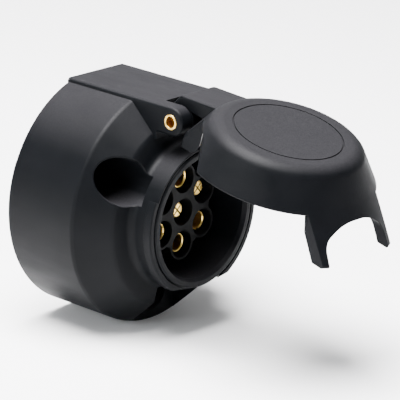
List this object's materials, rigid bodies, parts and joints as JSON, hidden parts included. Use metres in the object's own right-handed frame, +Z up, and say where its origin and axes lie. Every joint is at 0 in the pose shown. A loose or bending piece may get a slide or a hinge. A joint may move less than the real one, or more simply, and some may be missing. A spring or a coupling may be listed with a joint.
{
  "type": "trailer wiring connector",
  "caption": "Round black trailer wiring socket with a hinged flap lid held open, recessed brass contacts and bolt pockets.",
  "frame": {"origin": "centre of the flat rear face, on the barrel's axis", "axes": "-Y out of the mouth, +Z up towards the lid's hinge, +X along the hinge pin"},
  "size_m": [0.076, 0.1078, 0.0781],
  "materials": {
    "body_plastic": "fine moulded grain",
    "insert_plastic": "satin moulded",
    "seal_rubber": "soft matte",
    "brass": "turned",
    "spring_steel": "drawn wire",
    "screw_steel": "zinc plated"
  },
  "bodies": {
    "base": {"housing": "body_plastic", "hinge_pin": "brass", "lid_spring": "spring_steel", "contact_carrier": "insert_plastic", "carrier_flange": "insert_plastic", "rear_seal_plug": "seal_rubber", "contact_tube_top": "brass", "contact_tube_upper_left": "brass", "contact_tube_lower_left": "brass", "contact_tube_bottom": "brass", "contact_tube_lower_right": "brass", "contact_pin_upper_right": "brass", "contact_pin_centre": "brass", "terminal_screw_top": "screw_steel", "terminal_screw_upper_left": "screw_steel", "terminal_screw_lower_left": "screw_steel", "terminal_screw_bottom": "screw_steel", "terminal_screw_lower_right": "screw_steel", "terminal_screw_upper_right": "screw_steel", "terminal_screw_centre": "screw_steel", "carrier_screw_1": "screw_steel", "carrier_screw_2": "screw_steel", "carrier_screw_3": "screw_steel"},
    "flap": {"lid": "body_plastic", "lid_seal": "seal_rubber"}
  },
  "joints": [
    {"name": "lid_hinge", "type": "hinge", "parent": "base", "child": "flap", "pos_m": [0, -0.043, 0.0325], "axis": [1, 0, 0], "range_deg": [-24, 76], "deforming": ["lid_spring"]}
  ]
}
